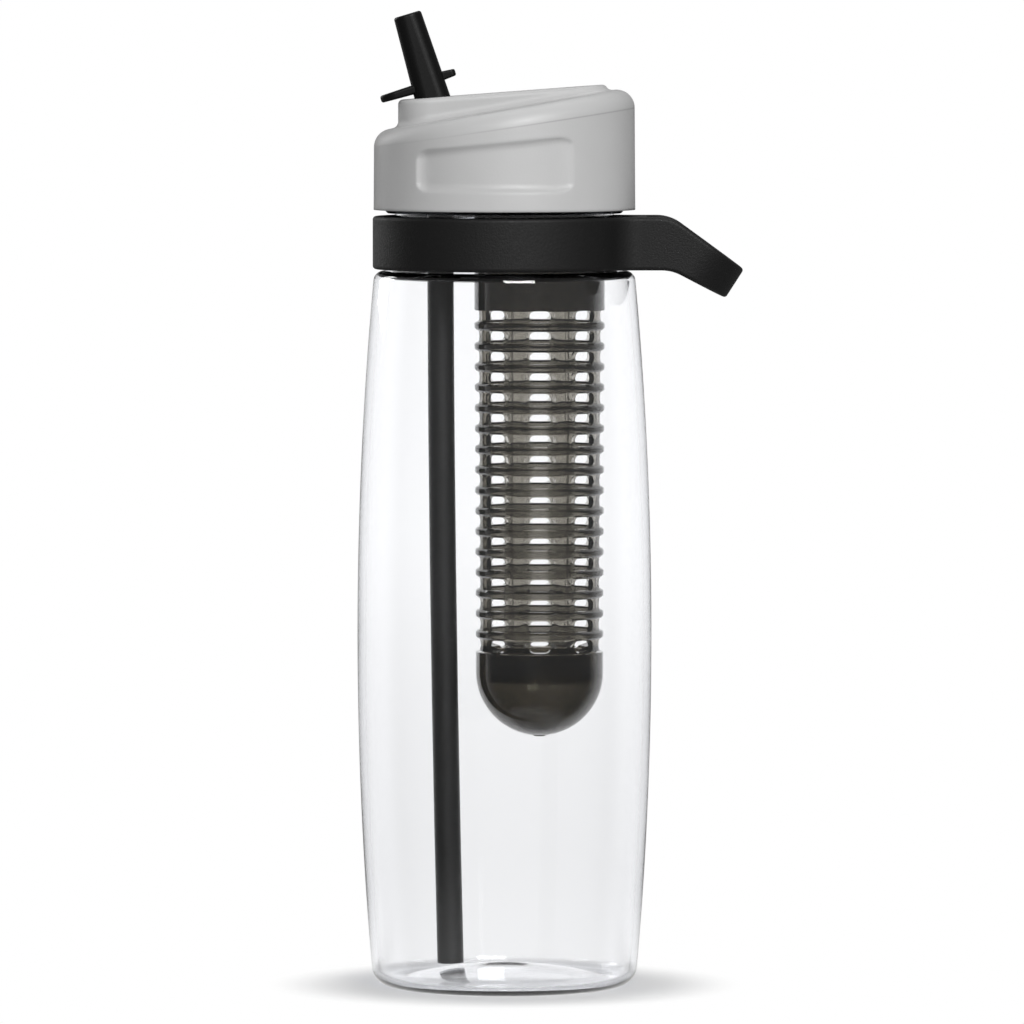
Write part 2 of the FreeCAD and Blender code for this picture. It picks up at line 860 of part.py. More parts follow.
def pill(width, height, z, near):
    """Outline of a rounded slot, square to X at a distance from the axis."""
    middle = (width - height) / 2
    edges = [
        Part.makeLine(V(near, -middle, z - height / 2), V(near, middle, z - height / 2)),
        Part.Arc(
            V(near, middle, z - height / 2),
            V(near, middle + height / 2, z),
            V(near, middle, z + height / 2),
        ).toShape(),
        Part.makeLine(V(near, middle, z + height / 2), V(near, -middle, z + height / 2)),
        Part.Arc(
            V(near, -middle, z + height / 2),
            V(near, -middle - height / 2, z),
            V(near, -middle, z - height / 2),
        ).toShape(),
    ]
    return Part.Wire(edges)


def slot_cutter(z):
    """Slot through the basket's wall, and the flat lands sunk into the wall at its two ends."""
    face = basket_outer(z) - rib_proud
    tools = []
    for width, near in ((slot_width, face / 2), (slot_width + 2 * slot_land, face - slot_land_depth)):
        outline = Part.Face(pill(width, slot_height, z, near))
        tools.append(outline.extrude(V(basket_radius - near, 0, 0)))
    return tools


def spigot_outer():
    return cup_radius - cup_wall - 2 * lug_clearance - lug_engage


def spigot_lug_top():
    return spigot_bottom + spigot_lug_lift + lug_height


def basket_outline():
    """Half section: collar, ribs, then the narrower spigot that enters the cup."""
    shell = cup_top + cup_top_gap
    path = [(basket_radius, collar_top), (basket_radius, collar_bottom)]
    above = collar_bottom
    for k in range(row_count - 1):
        middle = first_row - (k + 0.5) * row_pitch
        top = middle + rib_height / 2
        low = middle - rib_height / 2
        path.append((basket_outer(above) - rib_proud, above))
        path.append((basket_outer(top) - rib_proud, top))
        path.append((basket_outer(top) - rib_chamfer, top))
        path.append((basket_outer(top), top - rib_chamfer))
        path.append((basket_outer(low), low + rib_chamfer))
        path.append((basket_outer(low) - rib_chamfer, low))
        above = low
    path.append((basket_outer(above) - rib_proud, above))
    path.append((basket_outer(shell) - rib_proud, shell))
    path.append((spigot_outer(), shell))
    path.append((spigot_outer(), spigot_bottom))
    path.append((spigot_outer() - spigot_wall, spigot_bottom))
    path.append((spigot_outer() - spigot_wall, shell + basket_wall))
    path.append((basket_outer(shell) - rib_proud - basket_wall, shell + 2 * basket_wall))
    path.append((basket_radius - rib_proud - basket_wall, collar_bottom))
    path.append((basket_radius - collar_wall, collar_bottom + collar_wall))
    path.append((basket_radius - collar_wall, collar_top))
    return path


def make_infuser_basket():
    basket = spun(basket_outline())
    held, holding = lug_tops()
    root = basket_radius - collar_wall / 2
    basket = basket.fuse(held_lugs(boss_outer + lug_clearance, root, held - lug_height))
    top = spigot_lug_top()
    reach = cup_radius - cup_wall - lug_clearance
    root = spigot_outer() - spigot_wall / 2
    basket = basket.fuse(holding_lugs(root, reach, top, top + lug_gap + lug_height))
    cutters = []
    for row in range(row_count):
        for column in range(slot_columns):
            for tool in slot_cutter(first_row - row * row_pitch):
                tool.rotate(ORIGIN, UP, 360 * column / slot_columns)
                cutters.append(tool)
    basket = basket.cut(cutters)
    basket.translate(V(basket_x, 0, 0))
    return basket


def make_infuser_cup():
    centre = cup_top - cup_skirt
    half = math.sqrt(0.5)
    inner = cup_radius - cup_wall
    path = [
        (cup_radius, cup_top),
        (cup_radius, centre),
        ((cup_radius * half, centre - cup_radius * half), (0, centre - cup_radius)),
        (0, centre - inner),
        ((inner * half, centre - inner * half), (inner, centre)),
        (inner, cup_top),
    ]
    cup = spun(path)
    cup = cup.fuse(rod(gate_radius, centre - cup_radius - gate_height, centre - inner))
    low = spigot_lug_top() + lug_gap
    cup = cup.fuse(held_lugs(spigot_outer() + lug_clearance, inner + cup_wall / 2, low))
    cup.translate(V(basket_x, 0, 0))
    return cup


NODES = {
    "bottle_body": make_bottle_body,
    "carry_ring": make_carry_ring,
    "lid_shell": make_lid_shell,
    "inner_cap": make_inner_cap,
    "lid_gasket": make_lid_gasket,
    "spout": make_spout,
    "spout_seal": make_spout_seal,
    "vent_valve": make_vent_valve,
    "straw": make_straw,
    "infuser_basket": make_infuser_basket,
    "infuser_cup": make_infuser_cup,
}

os.makedirs("parts", exist_ok=True)
for name, make in NODES.items():
    make().exportStep("parts/" + name + ".step")
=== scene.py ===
import math

import bmesh
import bpy
from bpy.props import FloatProperty, FloatVectorProperty, PointerProperty
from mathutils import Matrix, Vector


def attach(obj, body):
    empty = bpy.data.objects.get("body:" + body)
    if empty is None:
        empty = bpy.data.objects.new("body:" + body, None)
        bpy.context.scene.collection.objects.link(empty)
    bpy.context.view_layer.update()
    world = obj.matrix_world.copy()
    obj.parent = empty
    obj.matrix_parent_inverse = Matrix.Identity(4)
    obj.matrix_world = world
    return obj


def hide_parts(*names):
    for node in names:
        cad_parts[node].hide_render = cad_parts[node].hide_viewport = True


bl_info = {
    "name": "Fruit Infuser Bottle",
    "version": (1, 0, 0),
    "blender": (4, 5, 0),
    "location": "3D View > Sidebar > Infuser Bottle",
    "description": "Dresses the packed infuser bottle with its finishes and sets up a plain studio",
    "category": "Object",
}

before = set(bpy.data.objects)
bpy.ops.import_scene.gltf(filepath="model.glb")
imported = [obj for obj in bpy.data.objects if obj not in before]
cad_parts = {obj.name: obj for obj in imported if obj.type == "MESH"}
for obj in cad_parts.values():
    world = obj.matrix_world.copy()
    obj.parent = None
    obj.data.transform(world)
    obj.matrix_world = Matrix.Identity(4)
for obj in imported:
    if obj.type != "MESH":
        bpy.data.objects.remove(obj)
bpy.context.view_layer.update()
MM = 0.001
COPOLYESTER_IOR = 1.54
POLYOLEFIN_IOR = 1.49


def linear(hex_colour):
    """Turns an sRGB hex colour into the linear values that shaders take."""
    levels = [int(hex_colour[k:k + 2], 16) / 255 for k in (0, 2, 4)]
    return tuple(v / 12.92 if v <= 0.04045 else ((v + 0.055) / 1.055) ** 2.4 for v in levels)


def length(name, description, millimetres):
    """Size property that is given in millimetres and kept in metres."""
    return FloatProperty(name=name, description=description, default=millimetres * MM, unit="LENGTH")


def share(name, description, part):
    """Property between 0 and 1."""
    return FloatProperty(name=name, description=description, default=part, min=0.0, max=1.0)


def tint(name, description, hex_colour):
    """Colour property that is given as sRGB hex."""
    return FloatVectorProperty(
        name=name, description=description, default=linear(hex_colour), subtype="COLOR", min=0.0, max=1.0
    )


# Properties

class BottleShape(bpy.types.PropertyGroup):
    """Half section of the clear bottle"""

    body_height: length("Body height", "Height of the flat shoulder over the table", 189.8)
    belly_radius: length("Belly radius", "Largest radius of the barrel", 39.0)
    belly_height: length("Belly height", "Height of the largest radius", 88.0)
    foot_radius: length("Foot radius", "Radius of the barrel at the foot height", 35.2)
    foot_height: length("Foot height", "Height at which the foot radius is taken", 4.0)
    shoulder_radius: length("Shoulder radius", "Radius of the barrel under the shoulder", 34.7)
    heel_round: length("Heel round", "Rounding where the wall meets the table", 4.6)
    shoulder_round: length("Shoulder round", "Rounding of the shoulder's corner", 2.4)
    wall: length("Wall", "Thickness of the blown wall", 2.0)
    floor: length("Floor", "Thickness of the base", 2.2)
    dome_rise: length("Dome rise", "Height of the pushed-up base", 3.4)
    dome_radius: length("Dome radius", "Radius of the pushed-up base", 27.0)
    dimple_radius: length("Dimple radius", "Radius of the gate dimple in the floor", 6.0)
    dimple_depth: length("Dimple depth", "Depth of the gate dimple", 0.6)
    land_radius: length("Land radius", "Radius of the smooth land that the ring turns on", 31.8)
    land_top: length("Land top", "Height of the land's upper edge", 203.9)
    land_chamfer: length("Land chamfer", "Chamfer of the land's upper edge", 0.8)
    neck_radius: length("Neck radius", "Root radius of the threaded neck", 29.0)
    neck_bore: length("Neck bore", "Inner radius of the neck", 27.8)
    rim_height: length("Rim height", "Height of the neck's rim", 218.0)
    thread_start: length("Thread start", "Height at which the thread's middle starts", 208.3)
    thread_pitch: length("Thread pitch", "Rise of the thread in one turn", 4.0)
    thread_depth: length("Thread depth", "Height of the thread over its root", 1.0)


class BottleColours(bpy.types.PropertyGroup):
    """Colours of the finishes"""

    clear_tint: tint("Clear tint", "What a long way through the clear wall leaves of white", "DCE0EA")
    smoke_tint: tint("Smoke tint", "What the smoke-coloured wall leaves of white", "8C8368")
    lid_grey: tint("Lid grey", "Grey of the lid", "A6A6A6")
    ring_black: tint("Ring black", "Black of the carry ring and inner cap", "090909")
    spout_black: tint("Spout black", "Black of the spout", "0A0A0A")
    straw_black: tint("Straw black", "Black of the straw", "0A0A0A")
    silicone_white: tint("Silicone white", "Milky white of the seals", "D5D6D4")
    clear_density: FloatProperty(
        name="Clear density", description="Absorption of the clear wall per metre", default=52.0, min=0.0
    )
    smoke_density: FloatProperty(
        name="Smoke density", description="Absorption of the smoke wall per metre", default=1270.0, min=0.0
    )


class MouldMarks(bpy.types.PropertyGroup):
    """Marks that the moulds left on the infuser and the lid"""

    basket_axis: length("Basket axis", "Distance of the basket's axis from the bottle's axis", 9.3)
    rib_root: length("Rib root", "Radius of the basket at which the ribs start to darken", 16.55)
    rib_crest: length("Rib crest", "Radius of the basket from which the ribs are darkest", 16.85)
    rib_tone: share("Rib tone", "What a rib's skin leaves of the light", 0.4)
    seam_angle: FloatProperty(
        name="Seam angle",
        description="Angle of the two mould lines on the basket to each side of its front",
        default=math.radians(27),
        unit="ROTATION",
    )
    parting_height: length("Parting height", "Height of the lid's parting line at the bottle's axis", 227.85)
    parting_slope: FloatProperty(
        name="Parting slope", description="Rise of the lid's parting line along X", default=0.149
    )
    parting_width: length("Parting width", "Half width of the lid's parting line", 0.35)


class StudioSetup(bpy.types.PropertyGroup):
    """Camera and stage"""

    camera_distance: length("Camera distance", "Level distance from the bottle's axis", 2470.0)
    camera_height: length("Camera height", "Height of the camera over the table", 260.0)
    camera_side: length("Camera side", "How far the camera stands to the right", 2.0)
    aim_height: length("Aim height", "Height on the axis at the middle of the picture", 125.8)
    lens: FloatProperty(
        name="Lens", description="Focal length on a 36 mm sensor", default=327.8, unit="CAMERA"
    )
    floor_radius: length("Floor radius", "Radius of the pale floor", 40000.0)
    floor_white: tint("Floor white", "White of the floor", "C8C8C8")
    room_light: share("Room light", "Strength of the even light from all round", 0.22)
    overexposure: share("Overexposure", "What four clear surfaces take from the white behind them", 0.21)
    shade_start: length("Shade start", "Distance from the axis up to which the floor keeps its shadow", 36.0)
    shade_end: length("Shade end", "Distance from the axis from which the floor is plain white", 64.0)
    sweep_start: length("Sweep start", "Distance up to which the floor is dimmest through the bottle", 200.0)
    sweep_end: length("Sweep end", "Distance from which the floor is white through the bottle", 2400.0)
    sweep_fall: share("Sweep fall", "How much dimmer the near floor is through the bottle", 0.17)
    gleam_start: length("Gleam start", "Distance up to which mirror images show a white floor", 40.0)
    gleam_end: length("Gleam end", "Distance from which mirror images show the room's light", 250.0)
    gleam: share("Gleam", "White of the floor in mirror images", 0.85)


# Shapes

def finish_mesh(name, bm, smooth_angle):
    """Closes seams, turns the faces outwards and links the piece at the origin."""
    bmesh.ops.remove_doubles(bm, verts=bm.verts[:], dist=0.001 * MM)
    bmesh.ops.recalc_face_normals(bm, faces=bm.faces[:])
    mesh = bpy.data.meshes.new(name)
    bm.to_mesh(mesh)
    bm.free()
    mesh.shade_smooth()
    mesh.set_sharp_from_angle(angle=smooth_angle)
    piece = bpy.data.objects.new(name, mesh)
    bpy.context.scene.collection.objects.link(piece)
    return piece


def step_to(bm, here, x, z):
    """Draws a straight run of a half section and returns its end."""
    there = bmesh.ops.extrude_vert_indiv(bm, verts=[here])["verts"][0]
    there.co = Vector((x, 0, z))
    return there


def swing_to(bm, here, centre, x, z, steps):
    """Draws an arc of a half section about a centre and returns its end."""
    first = math.atan2(here.co.z - centre[1], here.co.x - centre[0])
    last = math.atan2(z - centre[1], x - centre[0])
    swept = bmesh.ops.spin(
        bm, geom=[here], cent=(centre[0], 0, centre[1]), axis=(0, 1, 0), angle=first - last, steps=steps
    )
    return [item for item in swept["geom_last"] if isinstance(item, bmesh.types.BMVert)][0]


def arc_centre(a, b, c):
    """Centre of the circle through three points of a half section."""
    (ax, az), (bx, bz), (cx, cz) = a, b, c
    turn = 2 * (ax * (bz - cz) + bx * (cz - az) + cx * (az - bz))
    a2, b2, c2 = ax * ax + az * az, bx * bx + bz * bz, cx * cx + cz * cz
    x = (a2 * (bz - cz) + b2 * (cz - az) + c2 * (az - bz)) / turn
    z = (a2 * (cx - bx) + b2 * (ax - cx) + c2 * (bx - ax)) / turn
    return x, z


def clear_skin(shape):
    """Half section of the bottle, spun to one closed wall, with its neck thread."""
    foot = (shape.foot_radius, shape.foot_height)
    belly = (shape.belly_radius, shape.belly_height)
    top = (shape.shoulder_radius, shape.body_height - shape.shoulder_round)
    barrel = arc_centre(foot, belly, top)
    bend = math.hypot(belly[0] - barrel[0], belly[1] - barrel[1])
    dome_bend = (shape.dome_radius ** 2 + shape.dome_rise ** 2) / (2 * shape.dome_rise)
    roof = shape.body_height - shape.wall
    clear = 2 * shape.heel_round

    def barrel_x(z, inwards):
        return barrel[0] + math.sqrt((bend - inwards) ** 2 - (z - barrel[1]) ** 2)

    bm = bmesh.new()
    here = bm.verts.new((0, 0, shape.dome_rise))
    here = swing_to(bm, here, (0, shape.dome_rise - dome_bend), shape.dome_radius, 0, 24)
    heel = step_to(bm, here, barrel_x(0, 0), 0)
    here = step_to(bm, heel, barrel_x(clear, 0), clear)
    high = shape.body_height - clear
    here = swing_to(bm, here, barrel, barrel_x(high, 0), high, 64)
    shoulder = step_to(bm, here, barrel_x(shape.body_height, 0), shape.body_height)
    here = step_to(bm, shoulder, shape.land_radius, shape.body_height)
    here = step_to(bm, here, shape.land_radius, shape.land_top - shape.land_chamfer)
    here = step_to(bm, here, shape.land_radius - shape.land_chamfer, shape.land_top)
    here = step_to(bm, here, shape.neck_radius, shape.land_top)
    here = step_to(bm, here, shape.neck_radius, shape.rim_height)
    here = step_to(bm, here, shape.neck_bore, shape.rim_height)
    here = step_to(bm, here, shape.neck_bore, shape.land_top)
    here = step_to(bm, here, shape.land_radius - shape.wall, shape.land_top - shape.wall)
    here = step_to(bm, here, shape.land_radius - shape.wall, roof)
    inner_shoulder = step_to(bm, here, barrel_x(roof, shape.wall), roof)
    here = step_to(bm, inner_shoulder, barrel_x(high, shape.wall), high)
    here = swing_to(bm, here, barrel, barrel_x(clear, shape.wall), clear, 64)
    inner_heel = step_to(bm, here, barrel_x(shape.floor, shape.wall), shape.floor)
    here = step_to(bm, inner_heel, shape.dome_radius, shape.floor)
    dome_centre = (0, shape.floor + shape.dome_rise - dome_bend)
    lip_height = math.sqrt(dome_bend ** 2 - shape.dimple_radius ** 2) + dome_centre[1]
    lip = swing_to(bm, here, dome_centre, shape.dimple_radius, lip_height, 20)
    dimple = shape.floor + shape.dome_rise - shape.dimple_depth
    well = step_to(bm, lip, shape.dimple_radius - shape.dimple_depth, dimple)
    step_to(bm, well, 0, dimple)
    rounds = (
        (lip, shape.dimple_depth, 4),
        (well, shape.dimple_depth, 4),
        (heel, shape.heel_round, 10),
        (inner_heel, shape.heel_round - shape.wall, 8),
        (shoulder, shape.shoulder_round, 8),
        (inner_shoulder, shape.shoulder_round - shape.wall, 6),
    )
    for corner, radius, segments in rounds:
        bmesh.ops.bevel(
            bm,
            geom=[corner],
            offset=radius,
            segments=segments,
            profile=0.5,
            affect="VERTICES",
            material=-1,
        )
    bmesh.ops.spin(
        bm,
        geom=bm.verts[:] + bm.edges[:],
        cent=(0, 0, 0),
        axis=(0, 0, 1),
        angle=2 * math.pi,
        steps=192,
        use_merge=True,
    )
    neck_thread(bm, shape)
    return finish_mesh("clear_bottle", bm, math.radians(40))


def neck_thread(bm, shape):
    """Trapezoid ridge swept up the neck on a helix."""
    turns, per_turn = 1.75, 96
    root, crest = 1.0 * MM, 0.5 * MM
    inside = shape.neck_radius - 0.15 * MM
    outside = shape.neck_radius + shape.thread_depth
    z = shape.thread_start
    corners = [(inside, z - root), (outside, z - crest), (outside, z + crest), (inside, z + root)]
    ends = [bm.verts.new((x, 0, height)) for x, height in corners]
    section = bm.faces.new(ends)
    steps = int(turns * per_turn)
    bmesh.ops.spin(
        bm,
        geom=[section],
        cent=(0, 0, 0),
        axis=(0, 0, 1),
        dvec=(0, 0, shape.thread_pitch / per_turn),
        angle=turns * 2 * math.pi,
        steps=steps,
    )


# Finishes

def add(tree, kind, settings=None, values=None, links=None):
    """Adds one node with its settings, its socket values and its incoming links."""
    node = tree.nodes.new("ShaderNode" + kind)
    for name, value in (settings or {}).items():
        setattr(node, name, value)
    for socket, value in (values or {}).items():
        node.inputs[socket].default_value = value
    for socket, source in (links or {}).items():
        tree.links.new(source, node.inputs[socket])
    return node


def blank(name):
    """New material with an empty node tree and its output."""
    material = bpy.data.materials.new(name)
    material.use_nodes = True
    material.node_tree.nodes.clear()
    return material, material.node_tree, add(material.node_tree, "OutputMaterial")


def opaque(colour):
    """Colour with full alpha."""
    return (*colour, 1.0)


def lets_lamps_through(tree, out, glass):
    """Glass for sight, but a clear pane for the lamps' rays, so that what is inside is lit."""
    base_radius, base_clear = 22 * MM, 0.3
    wall_radius, wall_clear = 31 * MM, 0.85
    path = add(tree, "LightPath")
    where = add(tree, "TexCoord")
    flat = add(
        tree, "VectorMath", {"operation": "MULTIPLY"}, {1: (1, 1, 0)}, {0: where.outputs["Object"]}
    )
    out_from_axis = add(tree, "VectorMath", {"operation": "LENGTH"}, links={0: flat.outputs[0]})
    # The thick domed base and the smoke-coloured infuser hold most of the light back, so that the floor
    # under them stays dark
    clear = add(
        tree,
        "MapRange",
        values={
            "From Min": base_radius,
            "From Max": wall_radius,
            "To Min": base_clear,
            "To Max": wall_clear,
        },
        links={"Value": out_from_axis.outputs["Value"]},
    )
    open_pane = add(tree, "BsdfTransparent", links={"Color": clear.outputs[0]})
    mix = add(
        tree,
        "MixShader",
        links={0: path.outputs["Is Shadow Ray"], 1: glass.outputs[0], 2: open_pane.outputs[0]},
    )
    tree.links.new(mix.outputs[0], out.inputs["Surface"])


def clear_copolyester(colours):
    """Clear copolyester, stretch-blown: a glassy skin with slow waves from the uneven wall."""
    material, tree, out = blank("clear_copolyester_blown")
    where = add(tree, "TexCoord")
    # The blown wall swells and thins over about 35 mm
    waves = add(
        tree,
        "TexNoise",
        values={"Scale": 1 / (35 * MM), "Detail": 1.0},
        links={"Vector": where.outputs["Object"]},
    )
    bump = add(
        tree,
        "Bump",
        values={"Strength": 0.06, "Distance": 1 * MM},
        links={"Height": waves.outputs["Fac"]},
    )
    glass = add(
        tree,
        "BsdfPrincipled",
        values={
            "Base Color": (1.0, 1.0, 1.0, 1.0),
            "Roughness": 0.02,
            "IOR": COPOLYESTER_IOR,
            "Transmission Weight": 1.0,
        },
        links={"Normal": bump.outputs[0]},
    )
    # Hardly any tint straight through, and a cool grey along the wall at the bottle's edges
    absorb = add(
        tree,
        "VolumeAbsorption",
        values={"Color": opaque(colours.clear_tint), "Density": colours.clear_density},
    )
    tree.links.new(absorb.outputs[0], out.inputs["Volume"])
    lets_lamps_through(tree, out, glass)
    return material


def smoke_copolyester(name, colours, marks, rib_tone):
    """Smoke-tinted copolyester, injection moulded: glossy, and nearly black where walls lie in line."""
    material, tree, out = blank(name)
    where = add(tree, "TexCoord")
    # The melt's flow shows as faint streaks about 9 mm apart
    flow = add(
        tree,
        "TexNoise",
        values={"Scale": 1 / (9 * MM), "Detail": 2.0},
        links={"Vector": where.outputs["Object"]},
    )
    rough = add(
        tree,
        "MapRange",
        values={"To Min": 0.0, "To Max": 0.02},
        links={"Value": flow.outputs["Fac"]},
    )
    bump = add(
        tree,
        "Bump",
        values={"Strength": 0.02, "Distance": 0.4 * MM},
        links={"Height": flow.outputs["Fac"]},
    )
    glass = add(
        tree,
        "BsdfPrincipled",
        values={"IOR": COPOLYESTER_IOR, "Transmission Weight": 1.0},
        links={"Normal": bump.outputs[0], "Roughness": rough.outputs[0]},
    )
    # Two fine mould lines run down the front and the back of the basket
    split = add(tree, "SeparateXYZ", links={0: where.outputs["Object"]})
    across = add(
        tree, "Math", {"operation": "SUBTRACT"}, {1: marks.basket_axis}, {0: split.outputs["X"]}
    )
    turn = add(
        tree, "Math", {"operation": "ARCTAN2"}, links={0: across.outputs[0], 1: split.outputs["Y"]}
    )
    side = add(tree, "Math", {"operation": "PINGPONG"}, {1: math.pi / 2}, {0: turn.outputs[0]})
    off = add(tree, "Math", {"operation": "SUBTRACT"}, {1: marks.seam_angle}, {0: side.outputs[0]})
    away = add(tree, "Math", {"operation": "ABSOLUTE"}, links={0: off.outputs[0]})
    line = add(
        tree,
        "MapRange",
        values={
            "From Min": math.radians(0.3),
            "From Max": math.radians(0.6),
            "To Min": 0.45,
            "To Max": 1.0,
        },
        links={"Value": away.outputs[0]},
    )
    # The proud ribs are thick, so they keep back more light than the grooves between them
    round_axis = add(tree, "CombineXYZ", links={0: across.outputs[0], 1: split.outputs["Y"]})
    radius = add(tree, "VectorMath", {"operation": "LENGTH"}, links={0: round_axis.outputs[0]})
    rib = add(
        tree,
        "MapRange",
        values={
            "From Min": marks.rib_root,
            "From Max": marks.rib_crest,
            "To Min": 1.0,
            "To Max": rib_tone,
        },
        links={"Value": radius.outputs["Value"]},
    )
    shade = add(
        tree, "Math", {"operation": "MULTIPLY"}, links={0: line.outputs[0], 1: rib.outputs[0]}
    )
    tree.links.new(shade.outputs[0], glass.inputs["Base Color"])
    absorb = add(
        tree,
        "VolumeAbsorption",
        values={"Color": opaque(colours.smoke_tint), "Density": colours.smoke_density},
    )
    tree.links.new(absorb.outputs[0], out.inputs["Volume"])
    lets_lamps_through(tree, out, glass)
    return material


def moulded_plastic(
    name, colour, grain, depth, smoothest, roughest, specular=0.5, bump=0.35, edge=0.3 * MM
):
    """Moulded plastic: an eroded grain breaks the gloss, flow marks shift the tone, and edges are soft.

    The grain's width and depth are coarser than the real 0.1 mm, so that they show in the picture.
    """
    material, tree, out = blank(name)
    where = add(tree, "TexCoord")
    # Slow flow marks over about 22 mm
    flow = add(
        tree,
        "TexNoise",
        values={"Scale": 1 / (22 * MM), "Detail": 2.0},
        links={"Vector": where.outputs["Object"]},
    )
    tone = add(
        tree,
        "Mix",
        {"data_type": "RGBA"},
        {6: opaque([0.94 * v for v in colour]), 7: opaque([min(1.0, 1.06 * v) for v in colour])},
        {0: flow.outputs["Fac"]},
    )
    pits = add(
        tree,
        "TexNoise",
        values={"Scale": 1 / grain, "Detail": 3.0, "Roughness": 0.6},
        links={"Vector": where.outputs["Object"]},
    )
    rough = add(
        tree,
        "MapRange",
        values={"From Min": 0.3, "From Max": 0.7, "To Min": smoothest, "To Max": roughest},
        links={"Value": pits.outputs["Fac"]},
    )
    soft = add(tree, "Bevel", {"samples": 8}, {"Radius": edge})
    relief = add(
        tree,
        "Bump",
        values={"Strength": bump, "Distance": depth},
        links={"Height": pits.outputs["Fac"], "Normal": soft.outputs[0]},
    )
    skin = add(
        tree,
        "BsdfPrincipled",
        values={"IOR": POLYOLEFIN_IOR, "Specular IOR Level": specular},
        links={
            "Base Color": tone.outputs[2],
            "Roughness": rough.outputs[0],
            "Normal": relief.outputs[0],
        },
    )
    tree.links.new(skin.outputs[0], out.inputs["Surface"])
    return material


def parting_line(material, marks):
    """Fine dark line where two halves of the mould met, on a plane that slopes along X."""
    tree = material.node_tree
    where = add(tree, "TexCoord")
    split = add(tree, "SeparateXYZ", links={0: where.outputs["Object"]})
    rise = add(
        tree,
        "Math",
        {"operation": "MULTIPLY_ADD"},
        {1: marks.parting_slope, 2: marks.parting_height},
        {0: split.outputs["X"]},
    )
    over = add(
        tree, "Math", {"operation": "SUBTRACT"}, links={0: split.outputs["Z"], 1: rise.outputs[0]}
    )
    away = add(tree, "Math", {"operation": "ABSOLUTE"}, links={0: over.outputs[0]})
    # The line is plain on the right and fades towards the left
    faintness = add(
        tree,
        "MapRange",
        {"interpolation_type": "SMOOTHSTEP"},
        {"From Min": -22 * MM, "From Max": 18 * MM, "To Min": 0.95, "To Max": 0.76},
        {"Value": split.outputs["X"]},
    )
    line = add(
        tree,
        "MapRange",
        {"interpolation_type": "SMOOTHSTEP"},
        {"From Min": 0.0, "From Max": marks.parting_width, "To Max": 1.0},
        {"Value": away.outputs[0], "To Min": faintness.outputs[0]},
    )
    skin = [node for node in tree.nodes if node.type == "BSDF_PRINCIPLED"][0]
    before = skin.inputs["Base Color"].links[0].from_socket
    shade = add(
        tree,
        "Mix",
        {"data_type": "RGBA", "blend_type": "MULTIPLY"},
        {0: 1.0},
        {6: before, 7: line.outputs[0]},
    )
    tree.links.new(shade.outputs[2], skin.inputs["Base Color"])


def dress(node, material):
    """Gives a CAD node its finish."""
    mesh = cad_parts[node].data
    mesh.materials.clear()
    mesh.materials.append(material)


# Operators

class BOTTLE_OT_clear_body(bpy.types.Operator):
    """Spin the clear bottle's wall and give it its clear finish"""

    bl_idname = "infuser_bottle.clear_body"
    bl_label = "Clear body"

    def execute(self, context):
        piece = clear_skin(context.scene.bottle_shape)
        piece.data.materials.append(clear_copolyester(context.scene.bottle_colours))
        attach(piece, "bottle")
        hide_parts("bottle_body")
        return {"FINISHED"}


class BOTTLE_OT_infuser(bpy.types.Operator):
    """Finish the slotted basket and its cup"""

    bl_idname = "infuser_bottle.infuser"
    bl_label = "Infuser"

    def execute(self, context):
        colours = context.scene.bottle_colours
        marks = context.scene.bottle_marks
        ribbed = smoke_copolyester("smoke_copolyester_ribbed", colours, marks, marks.rib_tone)
        dress("infuser_basket", ribbed)
        # The cup has no ribs, so its skin takes nothing more from the light
        plain = smoke_copolyester("smoke_copolyester_moulded", colours, marks, 1.0)
        dress("infuser_cup", plain)
        return {"FINISHED"}


class BOTTLE_OT_lid(bpy.types.Operator):
    """Finish the grey lid and the black inner cap"""

    bl_idname = "infuser_bottle.lid"
    bl_label = "Lid"

    def execute(self, context):
        colours = context.scene.bottle_colours
        # Fine satin grain: wide soft highlights that roll over the shoulder and the recess
        satin = moulded_plastic(
            "satin_grey_polypropylene",
            colours.lid_grey,
            grain=0.7 * MM,
            depth=0.06 * MM,
            smoothest=0.4,
            roughest=0.54,
            bump=0.45,
            edge=1.2 * MM,
        )
        parting_line(satin, context.scene.bottle_marks)
        dress("lid_shell", satin)
        # Polished mould: a thin glossy edge under the lid
        gloss = moulded_plastic(
            "black_polypropylene_gloss",
            colours.ring_black,
            grain=0.4 * MM,
            depth=0.01 * MM,
            smoothest=0.25,
            roughest=0.35,
            specular=0.4,
        )
        dress("inner_cap", gloss)
        return {"FINISHED"}


class BOTTLE_OT_carry_ring(bpy.types.Operator):
    """Finish the carry ring"""

    bl_idname = "infuser_bottle.carry_ring"
    bl_label = "Carry ring"

    def execute(self, context):
        colours = context.scene.bottle_colours
        # Deep leathery grain: a matt black that glints a little where it faces the lamp
        grained = moulded_plastic(
            "black_polypropylene_grained",
            colours.ring_black,
            grain=0.5 * MM,
            depth=0.12 * MM,
            smoothest=0.5,
            roughest=0.68,
            specular=0.3,
            bump=0.9,
            edge=0.6 * MM,
        )
        dress("carry_ring", grained)
        return {"FINISHED"}


